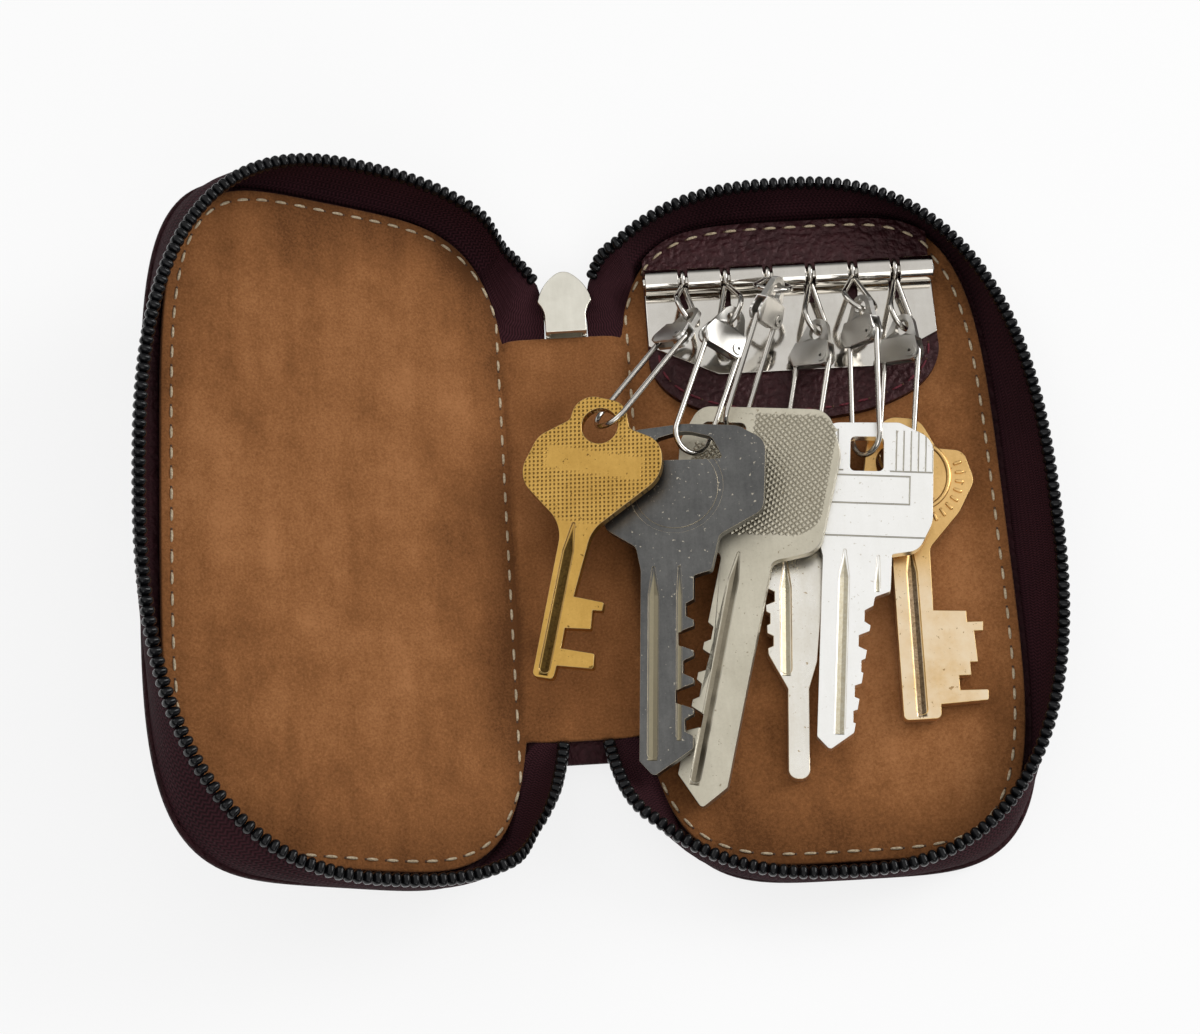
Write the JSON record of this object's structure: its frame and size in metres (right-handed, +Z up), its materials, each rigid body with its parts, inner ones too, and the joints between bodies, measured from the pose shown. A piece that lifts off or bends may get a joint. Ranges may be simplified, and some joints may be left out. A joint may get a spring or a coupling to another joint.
{
  "type": "key case",
  "caption": "Zip-around leather key case opened like a book, with suede lining, zip slider, and a hinged key row whose swivel hooks carry keys.",
  "frame": {"origin": "centre of the right cover's flat underside", "axes": "+X away from the spine across the right cover, +Y along the spine towards the zip slider, +Z up out of the opened case"},
  "size_m": [0.1407, 0.1164, 0.0437],
  "materials": {
    "outer_leather": "grained",
    "suede_lining": "suede nap",
    "stiffener": "matt",
    "zip_tape": "knitted",
    "zip_coil": "glossy",
    "slider_metal": "tumbled matt",
    "patch_leather": "pebbled",
    "bright_hardware": "bright plated",
    "brass_key": "worn",
    "gold_key": "polished",
    "nickel_key": "worn nickel"
  },
  "bodies": {
    "right_cover": {"right_outer_leather": "outer_leather", "right_stiffener": "stiffener", "right_lining": "suede_lining", "right_zip_tape": "zip_tape", "right_zip_coil": "zip_coil", "key_patch": "patch_leather", "key_bar": "bright_hardware", "key_bar_rivets": "bright_hardware", "key_bar_rod": "bright_hardware"},
    "spine": {"spine_outer_leather": "outer_leather", "spine_lining": "suede_lining", "zip_coils_slider_end": "zip_coil", "zip_tapes_slider_end": "zip_tape", "zip_coils_open_end": "zip_coil", "zip_tapes_open_end": "zip_tape", "zip_slider": "slider_metal"},
    "puller": {"zip_puller": "slider_metal"},
    "left_cover": {"left_outer_leather": "outer_leather", "left_stiffener": "stiffener", "left_lining": "suede_lining", "left_zip_tape": "zip_tape", "left_zip_coil": "zip_coil"},
    "link_1": {"swivel_link_1": "bright_hardware"},
    "clasp_1": {"clasp_plate_1": "bright_hardware", "clasp_rivet_1": "bright_hardware", "wire_loop_1": "bright_hardware"},
    "key_1": {"key_1": "brass_key"},
    "link_2": {"swivel_link_2": "bright_hardware"},
    "clasp_2": {"clasp_plate_2": "bright_hardware", "clasp_rivet_2": "bright_hardware", "wire_loop_2": "bright_hardware"},
    "key_2": {"key_2": "nickel_key"},
    "link_3": {"swivel_link_3": "bright_hardware"},
    "clasp_3": {"clasp_plate_3": "bright_hardware", "clasp_rivet_3": "bright_hardware", "wire_loop_3": "bright_hardware"},
    "key_3": {"key_3": "nickel_key"},
    "link_4": {"swivel_link_4": "bright_hardware"},
    "clasp_4": {"clasp_plate_4": "bright_hardware", "clasp_rivet_4": "bright_hardware", "wire_loop_4": "bright_hardware"},
    "key_4": {"key_4": "nickel_key"},
    "link_5": {"swivel_link_5": "bright_hardware"},
    "clasp_5": {"clasp_plate_5": "bright_hardware", "clasp_rivet_5": "bright_hardware", "wire_loop_5": "bright_hardware"},
    "key_5": {"key_5": "nickel_key"},
    "link_6": {"swivel_link_6": "bright_hardware"},
    "clasp_6": {"clasp_plate_6": "bright_hardware", "clasp_rivet_6": "bright_hardware", "wire_loop_6": "bright_hardware"},
    "key_6": {"key_6": "gold_key"}
  },
  "joints": [
    {"name": "spine_fold", "type": "hinge", "parent": "right_cover", "child": "spine", "pos_m": [-0.03085, 0, 0.0024], "axis": [0, 1, 0], "range_deg": [0, 90]},
    {"name": "left_fold", "type": "hinge", "parent": "spine", "child": "left_cover", "pos_m": [-0.05005, 0, 0.0024], "axis": [0, 1, 0], "range_deg": [-30, 60]},
    {"name": "puller_swing", "type": "hinge", "parent": "spine", "child": "puller", "pos_m": [-0.03945, 0.0422, 0.0014], "axis": [1, 0, 0], "range_deg": [0, 170]},
    {"name": "link_swing_1", "type": "hinge", "parent": "right_cover", "child": "link_1", "pos_m": [-0.02003, 0.0428, 0.0063], "axis": [1, 0, 0], "range_deg": [-100, 0]},
    {"name": "clasp_swing_1", "type": "hinge", "parent": "link_1", "child": "clasp_1", "pos_m": [-0.02003, 0.03285, 0.01301], "axis": [-0.1732, -0.0698, 0.9824], "range_deg": [0, 32.5]},
    {"name": "key_swing_1", "type": "hinge", "parent": "clasp_1", "child": "key_1", "pos_m": [-0.03527, 0.01442, 0.01494], "axis": [-0.1732, -0.0698, 0.9824], "range_deg": [0, 19.5]},
    {"name": "link_swing_2", "type": "hinge", "parent": "right_cover", "child": "link_2", "pos_m": [-0.01307, 0.0428, 0.0063], "axis": [1, 0, 0], "range_deg": [-100, 0]},
    {"name": "clasp_swing_2", "type": "hinge", "parent": "link_2", "child": "clasp_2", "pos_m": [-0.01307, 0.03251, 0.01248], "axis": [-0.1732, -0.0698, 0.9824], "range_deg": [0, 22]},
    {"name": "key_swing_2", "type": "hinge", "parent": "clasp_2", "child": "key_2", "pos_m": [-0.02202, 0.01025, 0.01307], "axis": [-0.1732, -0.0698, 0.9824], "range_deg": [-22, 0]},
    {"name": "link_swing_3", "type": "hinge", "parent": "right_cover", "child": "link_3", "pos_m": [-0.00613, 0.0428, 0.0063], "axis": [1, 0, 0], "range_deg": [-100, 0]},
    {"name": "clasp_swing_3", "type": "hinge", "parent": "link_3", "child": "clasp_3", "pos_m": [-0.00613, 0.03573, 0.016], "axis": [-0.1735, -0.0436, 0.9839], "range_deg": [0, 15.5]},
    {"name": "key_swing_3", "type": "hinge", "parent": "clasp_3", "child": "key_3", "pos_m": [-0.01465, 0.0142, 0.0097], "axis": [-0.1735, -0.0436, 0.9839], "range_deg": [-15.5, 0]},
    {"name": "link_swing_4", "type": "hinge", "parent": "right_cover", "child": "link_4", "pos_m": [0.00082, 0.0428, 0.0063], "axis": [1, 0, 0], "range_deg": [-100, 0]},
    {"name": "clasp_swing_4", "type": "hinge", "parent": "link_4", "child": "clasp_4", "pos_m": [0.00082, 0.03111, 0.009], "axis": [0, -0.0262, 0.9997], "range_deg": [-3, 0]},
    {"name": "key_swing_4", "type": "hinge", "parent": "clasp_4", "child": "key_4", "pos_m": [-0.00457, 0.00791, 0.00607], "axis": [0, -0.0262, 0.9997], "range_deg": [-2, 2]},
    {"name": "link_swing_5", "type": "hinge", "parent": "right_cover", "child": "link_5", "pos_m": [0.00777, 0.0428, 0.0063], "axis": [1, 0, 0], "range_deg": [-100, 0]},
    {"name": "clasp_swing_5", "type": "hinge", "parent": "link_5", "child": "clasp_5", "pos_m": [0.00777, 0.03297, 0.01318], "axis": [-0.0697, -0.0436, 0.9966], "range_deg": [0, 3]},
    {"name": "key_swing_5", "type": "hinge", "parent": "clasp_5", "child": "key_5", "pos_m": [0.00649, 0.00924, 0.0098], "axis": [-0.0697, -0.0436, 0.9966], "range_deg": [-2, 2]},
    {"name": "link_swing_6", "type": "hinge", "parent": "right_cover", "child": "link_6", "pos_m": [0.01473, 0.0428, 0.0063], "axis": [1, 0, 0], "range_deg": [-100, 0]},
    {"name": "clasp_swing_6", "type": "hinge", "parent": "link_6", "child": "clasp_6", "pos_m": [0.01473, 0.03111, 0.009], "axis": [0, -0.0349, 0.9994], "range_deg": [-3, 3]},
    {"name": "key_swing_6", "type": "hinge", "parent": "clasp_6", "child": "key_6", "pos_m": [0.0112, 0.00755, 0.00607], "axis": [0, -0.0349, 0.9994], "range_deg": [-2, 2]}
  ],
  "couplings": [
    {"joint": "clasp_swing_1", "follows": "spine_fold", "ratio": 0.36111},
    {"joint": "key_swing_1", "follows": "spine_fold", "ratio": 0.21667},
    {"joint": "link_swing_2", "follows": "link_swing_1", "ratio": 1},
    {"joint": "clasp_swing_2", "follows": "spine_fold", "ratio": 0.24444},
    {"joint": "key_swing_2", "follows": "spine_fold", "ratio": -0.24444},
    {"joint": "link_swing_3", "follows": "link_swing_1", "ratio": 1},
    {"joint": "clasp_swing_3", "follows": "spine_fold", "ratio": 0.17222},
    {"joint": "key_swing_3", "follows": "spine_fold", "ratio": -0.17222},
    {"joint": "link_swing_4", "follows": "link_swing_1", "ratio": 1},
    {"joint": "link_swing_5", "follows": "link_swing_1", "ratio": 1},
    {"joint": "link_swing_6", "follows": "link_swing_1", "ratio": 1}
  ]
}
